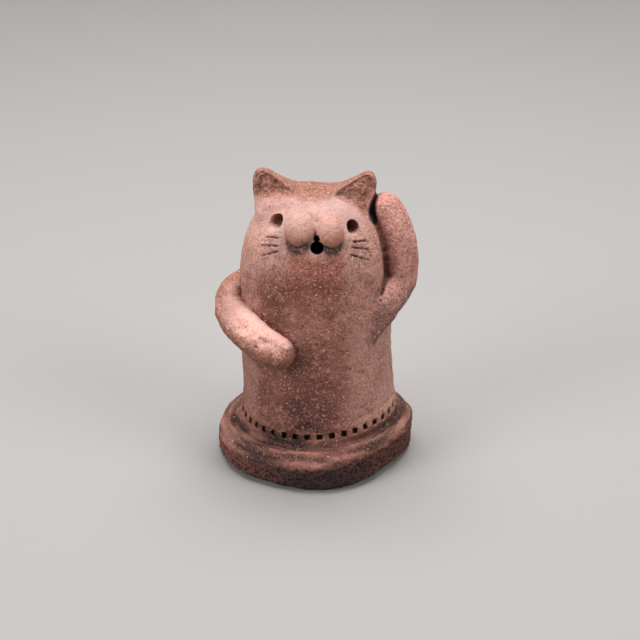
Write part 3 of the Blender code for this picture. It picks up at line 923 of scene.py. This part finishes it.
# The clay's skin is thinned out where it is even, which leaves faces for the cloth's dents
CLAY_FACETS = 145000
thin = cat.modifiers.new("thin", "DECIMATE")
thin.ratio = CLAY_FACETS / sum(len(face.vertices) - 2 for face in cat.data.polygons)
settle(cat)



def separate_parts(mesh):
    """The mesh's parts that don't touch, as lists of vertices, the largest first."""
    unseen, parts = set(mesh.verts), []
    while unseen:
        part = [unseen.pop()]
        for vertex in part:
            linked = {edge.other_vert(vertex) for edge in vertex.link_edges} & unseen
            unseen -= linked
            part += linked
        parts.append(part)
    return sorted(parts, key=len, reverse=True)


# ----------------------------------------
# The cloth's mesh. The real slab was rolled on its edge over a coarse cloth, which left rows of small dents
# about a millimetre apart all round its side.
# ----------------------------------------
DENTS_ROUND = 148
DENT_PITCH = 1.03 * MM
DENT_DEPTH = 0.48 * MM


def on_side(points, normals):
    """1 on the slab's side, 0 off it."""
    about = np.degrees(np.arctan2(points[:, 0], -points[:, 1]))
    high = 5.3 * MM + slab_rise(about) * ramp(about, 150, 100)
    side = ramp(points[:, 2], high + 0.9 * MM, high - 0.3 * MM) * ramp(normals[:, 2], -0.75, -0.4)
    return side * (np.hypot(points[:, 0], points[:, 1]) > 20.5 * MM)


finer = bmesh.new()
finer.from_mesh(cat.data)
points, normals = clay_points(cat)
side = on_side(points, normals) > 0
edges = [e for e in finer.edges if side[e.verts[0].index] and side[e.verts[1].index]]
bmesh.ops.subdivide_edges(finer, edges=edges, cuts=1, use_grid_fill=True, smooth=0.0)
bmesh.ops.triangulate(finer, faces=[f for f in finer.faces if len(f.verts) > 3])
# A sliver that the cuts left loose is taken out, and so are fins that hang by one edge
slivers = [vertex for part in separate_parts(finer)[1:] for vertex in part]
bmesh.ops.delete(finer, geom=slivers, context="VERTS")
for _ in range(2):
    fins = [face for face in finer.faces if sum(edge.is_boundary for edge in face.edges) >= 2]
    bmesh.ops.delete(finer, geom=fins, context="FACES")
finer.to_mesh(cat.data)
finer.free()


def dent_pattern(points):
    """How deep in a dent of the cloth each point is, from 0 to 1."""
    luck = np.random.default_rng(31)
    shifts = luck.uniform(-0.3, 0.3, (DENTS_ROUND, 16, 2))
    depths = luck.uniform(0.35, 1.0, (DENTS_ROUND, 16))
    column = (np.arctan2(points[:, 0], -points[:, 1]) / (2 * math.pi) + 0.5) * DENTS_ROUND
    row = points[:, 2] / DENT_PITCH + 1
    deepest = np.zeros(len(points))
    for right, up in np.ndindex(3, 3):
        i = np.floor(column).astype(int) + right - 1
        j = np.floor(row + 0.5 * (i % 2)).astype(int) + up - 1
        shift = shifts[i % DENTS_ROUND, j % 16]
        far = np.hypot(column - i - 0.5 - shift[:, 0], row + 0.5 * (i % 2) - j - 0.5 - shift[:, 1])
        deepest = np.maximum(deepest, depths[i % DENTS_ROUND, j % 16] * bump(far, 0.42))
    return deepest


def cloth_dents(points, normals):
    return -DENT_DEPTH * on_side(points, normals) * (dent_pattern(points) - 0.25)


shape_clay(cat, cloth_dents)

# Nothing of the skin stands outside the solid's own box
points, normals = clay_points(cat)
set_points(cat, np.clip(points, np.array(cad_low), np.array(cad_high)))

# ----------------------------------------
# The clay's finish: bisque-fired red stoneware clay, open and matt, with grog and mica in it. It was fired
# without glaze, so the thumbed places came out pink and the rough ones brown.
# ----------------------------------------


def linear(hex_colour):
    """A colour as the shader wants it, from sRGB hex."""
    shares = [int(hex_colour[i : i + 2], 16) / 255 for i in (1, 3, 5)]
    return (*(s / 12.92 if s <= 0.04045 else ((s + 0.055) / 1.055) ** 2.4 for s in shares), 1.0)


def toward(values, goal, share):
    """The values, moved by a share from 0 to 1 of the way to a goal."""
    return values + (goal - values) * share


# Where the tints and the painted light and shade lie, each as a share from 0 to 1 at every point. Levels are
# heights in mm.
points, normals = clay_points(cat)
angle, height, out = bearings(points)
about = np.degrees(np.arctan2(points[:, 0], -points[:, 1]))
level = height / MM
upward = normals[:, 2]
left, right = angle < 0, angle > 0
across, up = seen_from_above(points)
cloud = unevenness(points, 5 * MM, 21) + 0.5 * unevenness(points, 2.2 * MM, 22)
creased = np.clip(hollowness(cat, 6) * 9, -1, 1)

stamped = on_side(points, normals)
slab = ramp(level, 14.0, 11.5)
tube = 1 - slab
streak = slab * smears(points)

arms = np.minimum(near_line(points, hanging_line), near_line(points, raised_line))
on_arm = ramp(arms, 6.2 * MM, 5.2 * MM) * ramp(out, 0.3 * MM, 1.0 * MM)
# arm_top is where the hanging arm faces up, and takes a painted highlight
arm_top = on_arm * ramp(upward + 0.05 * cloud, 0.40, 0.80) * ramp(angle, -8, -20) * ramp(angle, -92, -80)
# elbow: the raised arm's lower part where it faces down, which takes painted shade
elbow = ramp(near_line(points, raised_line[:45]), 6 * MM, 5 * MM) * ramp(level, 49.5, 46)
elbow *= ramp(upward + 0.25 * cloud, 0.85, 0.25) * on_arm
# pocket and arm_crease: the recesses between the raised arm and the head, which take painted shade
pocket = ramp(inside_outline(across, up, ARM_POCKET), -0.4 * MM, 0.3 * MM) * (level > 55) * (normals[:, 1] < 0.3)
arm_crease = beside_arm(points)

ears = [ramp(inside_outline(across, up, hollow), -0.2 * MM, 0.5 * MM) for hollow in (LEFT_HOLLOW, RIGHT_HOLLOW)]
in_ear = np.maximum(*ears) * (level > 60) * (normals[:, 1] < 0.2)
crown = ramp(level, 69.0, 70.4)
bare_crown = crown * (1 - in_ear)

face = ramp(level, 50, 59) * (1 - on_arm)
jaw = face * ramp(level, 66.5, 57)
drift = angle + 14 * cloud
chest = ramp(drift, -66, -40) * ramp(drift, 38, 8) * ramp(level, 58, 51) * (1 - on_arm)
chin = ramp(np.abs(angle - 1), 30, 14) * ramp(level, 61.4, 58.5) * ramp(level, 47, 54) * (1 - on_arm)
# The tube's lower left and lower right sides; the right one takes painted light
low_left = ramp(level, 42, 24) * ramp(angle, 30, 5) * ramp(angle, -170, -110) * tube
low_right = ramp(angle, 18, 34) * ramp(angle, 170, 110) * ramp(level, 46, 38) * tube
# left_cheek takes a painted highlight
left_cheek = face * ramp(angle, -40, -52) * ramp(angle, -150, -90) * ramp(level, 56, 62) * ramp(level, 69, 67)

pellets = (out > 0.9 * MM) * ramp(np.abs(angle), 36, 30) * (level > 57) * (level < 69)
# lower_pellet: the pellets' lower halves, made browner, rustier and darker; partly their own tint, partly painted
# shade
lower_pellet = pellets * ramp(level, 67.5, 64)
# under_pellets: the pellets' downward sides and a ring just under each, which take a painted shadow
under_pellets = np.zeros(len(points))
for beside, above in round_pellets(points):
    ring = np.hypot(beside, above)
    turned_down = ramp(upward, 0.05, -0.35) * ramp(ring, 1.15, 1.0) * ramp(ring, 0.5, 0.7)
    under = ramp(above, -0.3, -0.55) * ramp(np.abs(beside), 1.05, 0.75)
    under_pellets = np.maximum(under_pellets, under * np.maximum(turned_down, bump(ring - 0.97, 0.18)))
scratched = np.zeros(len(points))
for start, end in whisker_ends():
    scratched = np.maximum(scratched, bump(from_stroke(points, start, end), 0.26 * MM))

# Brown and rust: the fire's own tints, least on the face. Both carry painted shade too, on the hanging arm's
# downward side and on the pellets' lower halves; and the brown is lessened on the hanging arm's lit top and on the
# tube's lower right side as painted light
# The hanging arm is browner on its downward side: painted shade
arm_brown = 0.40 + 0.3 * cloud + 0.5 * ramp(angle, -60, -80) + np.where(left, 0.6, 0.15) * ramp(upward, 0.5, 0.0)
brown_and_painted_light = 0.62 + 0.14 * cloud
for goal, share in (
    (0.08 + 0.10 * cloud, face),
    (0.56 + 0.25 * cloud, jaw),
    (1.0 + 0.1 * cloud, 0.75 * chest),
    (arm_brown, on_arm),
    (0.85 + 0.25 * cloud, slab),
    (0.95, 0.8 * np.maximum(in_ear, crown)),
    (0.8, np.maximum(lower_pellet, 0.3 * pellets)),
):
    brown_and_painted_light = toward(brown_and_painted_light, goal, share)
# Less brown on the tube's lower right side and on the hanging arm's top: painted light
brown_and_painted_light = toward(brown_and_painted_light - 0.1 * low_right * (1 - on_arm), 0.1, arm_top)
rust_and_painted_shade = np.maximum(0.5 * bare_crown, 0.2 * in_ear * left) + (0.5 + 0.3 * streak) * slab
# Rustier on the hanging arm's downward side: painted shade
rust_and_painted_shade += on_arm * (0.7 * left * ramp(upward, 0.55, 0.1) + 0.3 * ramp(angle, -64, -82))
rust_and_painted_shade += 0.6 * lower_pellet + 0.15 * jaw + 0.15 * cloud * (1 - face)
# Red, most on the chin, in the creases and on the raised arm. The red in the creases is partly painted shade
red_and_crease_shade = 0.6 * chin + 0.6 * np.clip(creased, 0, 1) * tube * (1 - in_ear) + 0.10 + 0.15 * cloud
red_and_crease_shade += (0.15 + 0.37 * right) * on_arm + 0.25 * low_left + 0.3 * chest
red_and_crease_shade += (0.4 + 0.2 * ramp(about, 30, 70) * ramp(about, 170, 120)) * slab
# Dark: painted shade in the creases, the scratches and the pocket by the raised hand, on the elbow's and the
# hanging arm's undersides and on the pellets' lower halves; painted shadow under the pellets and in the gap under
# the slab's edge. Also darker: the slab's side, its top towards the sides and less in its smears, mottles in the
# ears and on the crown, the middle of the chest, the tube's lower left, the chin, and the face where it faces up
crease_depth = 0.5 - 0.2 * ramp(angle, -18, -24) * ramp(angle, -170, -130)
painted_shade_and_dark_clay = (0.33 + 0.28 * ramp(np.abs(about), 22, 55) - 0.45 * streak) * slab * (1 - stamped)
# Painted shade in the creases, less on the face, in the ears and on the arm's top
painted_shade_and_dark_clay += np.clip(creased - 0.15, 0, 1) * (1 - in_ear) * (1 - 0.8 * arm_top) * crease_depth * (1 - 0.6 * face)
painted_shade_and_dark_clay += (0.26 + 0.06 * cloud) * low_left + (0.36 + 0.14 * cloud) * chest + 0.10 * chin
# The face darker where it faces up, and painted shade on the hanging arm's downward side
painted_shade_and_dark_clay += 0.13 * face * ramp(upward, 0.3, 0.7) + on_arm * left * (0.06 + 0.22 * ramp(upward, 0.55, -0.1))
# Painted shade on the elbow's underside and the pellets' lower halves, painted shadow under the pellets, and the
# crown a little darker
painted_shade_and_dark_clay += 0.6 * elbow + 0.95 * under_pellets + 0.24 * lower_pellet * ramp(level, 65, 61) + 0.12 * bare_crown
# The slab's side darker, most towards the front right, and a painted shadow in the gap under the slab's
# rounded-under edge, below 1.9 mm
painted_shade_and_dark_clay += stamped * (0.30 + 0.32 * ramp(about, -45, -5) * ramp(about, 170, 100)) + ramp(level, 1.9, 1.2)
# Painted shade in the pocket by the raised hand, in the crease beside the raised arm and in the whisker scratches
painted_shade_and_dark_clay += 0.9 * pocket + 0.4 * arm_crease + 0.6 * scratched
painted_shade_and_dark_clay += (0.65 * in_ear + 0.35 * bare_crown) * np.clip(unevenness(points, 0.9 * MM, 23), 0, 1)
# Pale: edges that wore; painted sheen on the slab's smears; painted light on the lower sides of the face and the
# tube's lower right side; and a painted highlight on the hanging arm's top, the raised arm, the pellets' tops and
# the left cheek
wear_and_painted_light = np.clip(-creased - 0.08, 0, 1) * (0.45 - 0.3 * face) + 0.35 * np.clip(streak, 0, 1)
wear_and_painted_light += 0.55 * face * ramp(np.abs(angle), 30, 42) * ramp(level, 64, 58) + 0.35 * low_right
painted_highlight = (0.12 + 0.88 * ramp(angle, -68, -48)) * (0.95 + 0.1 * cloud) * arm_top
painted_highlight += (0.30 * right - 0.05) * on_arm + 0.10 * pellets * ramp(level, 63, 66) + 0.30 * left_cheek
# How much of the grit shows, and how sleek the smears of the slab are
coarse = 0.70 + 0.1 * on_arm + 0.4 * in_ear + 0.3 * crown + 0.15 * cloud - 0.42 * face * ramp(level, 58, 66)
coarse -= 0.5 * arm_top + 0.6 * stamped + 0.25 * slab + 0.8 * pocket + 0.6 * arm_crease + 0.1 * elbow
layers = {
    "brown_and_painted_light": brown_and_painted_light,
    "rust_and_painted_shade": rust_and_painted_shade,
    "red_and_crease_shade": red_and_crease_shade,
    "painted_shade_and_dark_clay": painted_shade_and_dark_clay,
    "wear_and_painted_light": wear_and_painted_light,
    "painted_highlight": painted_highlight,
    "stamped": stamped,
    "dented": stamped * np.clip(2.2 * dent_pattern(points) - 0.5, 0, 1),
    "coarse": coarse,
    "sleek": slab * (1 - stamped) * np.clip(0.4 + streak, 0, 1),
}
for name, values in layers.items():
    layer = cat.data.attributes.new(name, "FLOAT", "POINT")
    layer.data.foreach_set("value", np.clip(values, 0.0, 1.0).astype(np.float32))

bisque = bpy.data.materials.new("bisque_red_clay")
bisque.use_nodes = True
tree = bisque.node_tree
surface = tree.nodes["Principled BSDF"]


def add(kind, links, output=0, **settings):
    """Adds a node with its settings, gives its sockets a value or a link, and returns an output."""
    node = tree.nodes.new(kind)
    for name, value in settings.items():
        setattr(node, name, value)
    for socket, source in links.items():
        if isinstance(source, bpy.types.NodeSocket):
            tree.links.new(source, node.inputs[socket])
        else:
            node.inputs[socket].default_value = source
    return node.outputs[output]


painted = {name: add("ShaderNodeAttribute", {}, "Fac", attribute_name=name) for name in layers}
where = add("ShaderNodeTexCoord", {}, "Object")
# Grains to a mm. The real grit is 0.2 to 0.4 mm across and the mica finer still. A pixel of the render is
# about 0.25 mm, so both are drawn as coarse as they need to show: the grit 0.5 mm and the flakes 0.2 to
# 0.4 mm. Grog is 1.3 mm across and the clouds of uneven firing are 4 mm.
GRIT_FINENESS = 1.9
GROG_FINENESS = 0.76
CLOUD_FINENESS = 0.24
# Cells to a mm: one flake in a cell of 1 mm and one pit in a cell of 1.6 mm, where the cell has one
FLAKE_CELLS = 1.05
PIT_CELLS = 0.62
grit = add("ShaderNodeTexNoise", {"Vector": where, "Scale": GRIT_FINENESS / MM, "Detail": 3.0, "Roughness": 0.75})
grog = add("ShaderNodeTexNoise", {"Vector": where, "Scale": GROG_FINENESS / MM, "Detail": 3.0, "Roughness": 0.65})
cloudy = add("ShaderNodeTexNoise", {"Vector": where, "Scale": CLOUD_FINENESS / MM, "Detail": 4.0, "Roughness": 0.6})
flake = add("ShaderNodeTexVoronoi", {"Vector": where, "Scale": FLAKE_CELLS / MM, "Randomness": 1.0})
flake_luck = add("ShaderNodeSeparateColor", {"Color": flake.node.outputs["Color"]})
pit = add("ShaderNodeTexVoronoi", {"Vector": where, "Scale": PIT_CELLS / MM, "Randomness": 1.0})
pit_luck = add("ShaderNodeSeparateColor", {"Color": pit.node.outputs["Color"]})

# Where each starts and is full, and how strong it is. One cell in ten has a flake, and one in eighteen a pit.
masks = {}
for name, source, low, high, most in (
    ("near_flake", flake, 0.20, 0.11, 1.0),
    ("flake_here", flake_luck, 0.86, 1.0, 1.0),
    ("near_pit", pit, 0.20, 0.10, 0.8),
    ("pit_here", pit_luck, 0.92, 0.97, 1.0),
    ("dark_grit", grit, 0.50, 0.32, 0.80),
    ("pale_grit", grit, 0.54, 0.70, 0.65),
    ("dark_grog", grog, 0.48, 0.30, 0.55),
    ("pale_grog", grog, 0.54, 0.72, 0.50),
    ("smoky", cloudy, 0.42, 0.70, 0.45),
):
    masks[name] = add(
        "ShaderNodeMapRange", {"Value": source, "From Min": low, "From Max": high, "To Min": 0.0, "To Max": most},
        interpolation_type="SMOOTHSTEP",
    )
mica_glints = add("ShaderNodeMath", {0: masks["near_flake"], 1: masks["flake_here"]}, operation="MULTIPLY")
pitted = add("ShaderNodeMath", {0: masks["near_pit"], 1: masks["pit_here"]}, operation="MULTIPLY")
# The thumbed, pink places show less grit than the brown ones
bare = add("ShaderNodeMapRange", {"Value": painted["coarse"], "From Min": 0.05, "From Max": 0.7, "To Min": 0.04})
gritty = {
    name: add("ShaderNodeMath", {0: masks[name], 1: bare}, operation="MULTIPLY")
    for name in ("dark_grit", "pale_grit", "dark_grog", "pale_grog", "smoky")
}
mica_glints = add("ShaderNodeMath", {0: mica_glints, 1: bare}, operation="MULTIPLY")

# The pink of thumbed clay, with each tint and grain laid over those before it
clay_colour = linear("#b4938c")
for share, colour in (
    # Brown and rust; both carry painted shade on the hanging arm's underside and the pellets' lower halves
    (painted["brown_and_painted_light"], "#ab755f"),
    (painted["rust_and_painted_shade"], "#8f5a43"),
    (gritty["smoky"], "#754b43"),
    # Red, partly painted shade in the creases
    (painted["red_and_crease_shade"], "#92493b"),
    # Pale wear on edges with painted light and sheen, then a painted highlight
    (painted["wear_and_painted_light"], "#b9897a"),
    (painted["painted_highlight"], "#e4ada0"),
    (painted["stamped"], "#7a463b"),
    # Painted shade and shadow, and darker clay
    (painted["painted_shade_and_dark_clay"], "#281917"),
    (gritty["dark_grog"], "#724839"),
    (gritty["pale_grog"], "#c08d7b"),
    (gritty["dark_grit"], "#4f2d25"),
    (gritty["pale_grit"], "#cfa08f"),
    (painted["dented"], "#100908"),
    (pitted, "#4b2620"),
    # Mica flakes, painted pale as their glint
    (mica_glints, "#f7dccb"),
):
    clay_colour = add("ShaderNodeMix", {0: share, 6: clay_colour, 7: linear(colour)}, 2, data_type="RGBA")
tree.links.new(clay_colour, surface.inputs["Base Color"])
# Bisque drinks in the light. Only mica and the slip that a wet thumb drew up on the slab shine a little.
surface.inputs["Specular IOR Level"].default_value = 0.35
gloss = add("ShaderNodeMapRange", {"Value": mica_glints, "To Min": 0.86, "To Max": 0.4})
gloss = add("ShaderNodeMath", {0: painted["sleek"], 1: -0.32, 2: gloss}, operation="MULTIPLY_ADD")
tree.links.new(gloss, surface.inputs["Roughness"])

relief = add("ShaderNodeMath", {0: grit, 1: 0.5}, operation="MULTIPLY")
for source, share in ((grog, 1.1), (pitted, -0.8)):
    relief = add("ShaderNodeMath", {0: source, 1: share, 2: relief}, operation="MULTIPLY_ADD")
strength = add("ShaderNodeMapRange", {"Value": painted["coarse"], "To Min": 0.3, "To Max": 1.0})
raised = add("ShaderNodeBump", {"Height": relief, "Strength": strength, "Distance": 0.0009})
tree.links.new(raised, surface.inputs["Normal"])
cat.data.materials.clear()
cat.data.materials.append(bisque)
cat.data.shade_smooth()
cat.data.set_sharp_from_angle(angle=math.radians(58))

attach(cat, "root")
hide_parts("cat_figure")

# ----------------------------------------
# The photograph's setting: a pale grey sweep, soft light from above, and a long lens that looks down.
# ----------------------------------------
floor_mesh = bmesh.new()
bmesh.ops.create_grid(floor_mesh, x_segments=1, y_segments=1, size=2.0, matrix=Matrix.Translation((0, 0, -0.00002)))
floor = bpy.data.objects.new("floor", lump_mesh(floor_mesh, "floor"))
bpy.context.scene.collection.objects.link(floor)
paper = bpy.data.materials.new("pale_grey_paper")
paper.use_nodes = True
paper.node_tree.nodes["Principled BSDF"].inputs["Base Color"].default_value = linear("#8b8886")
paper.node_tree.nodes["Principled BSDF"].inputs["Roughness"].default_value = 0.9
floor.data.materials.append(paper)
floor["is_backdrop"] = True

LOOK_AT = Vector((0.88, 0.9, 34.9)) * MM
CAMERA_RANGE = 520 * MM
CAMERA_LIFT = math.radians(27)
camera = bpy.data.objects.new("camera", bpy.data.cameras.new("camera"))
bpy.context.scene.collection.objects.link(camera)
camera.data.sensor_width = 36
camera.data.lens = 117
camera.data.clip_start = 0.01
back = Vector((0.0, -math.cos(CAMERA_LIFT), math.sin(CAMERA_LIFT)))
camera.location = LOOK_AT + back * CAMERA_RANGE
camera.rotation_euler = back.to_track_quat("Z", "Y").to_euler()
bpy.context.scene.camera = camera


def softbox(name, place, side, power):
    """A square soft light that looks at the figure."""
    light = bpy.data.objects.new(name, bpy.data.lights.new(name, "AREA"))
    light.data.size = side
    light.data.energy = power
    light.location = place
    light.rotation_euler = (Vector(place) - LOOK_AT).to_track_quat("Z", "Y").to_euler()
    bpy.context.scene.collection.objects.link(light)


softbox("overhead_softbox", (0.0, 0.11, 0.55), 0.5, 6.6)
softbox("left_softbox", (-0.55, -0.35, 0.32), 0.35, 3.8)
softbox("right_softbox", (0.5, -0.3, 0.42), 0.35, 2.9)
world = bpy.data.worlds.new("studio")
world.use_nodes = True
world.node_tree.nodes["Background"].inputs["Color"].default_value = linear("#d8d8d8")
world.node_tree.nodes["Background"].inputs["Strength"].default_value = 0.1
bpy.context.scene.world = world
bpy.context.scene.view_settings.view_transform = "Standard"

low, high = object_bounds()
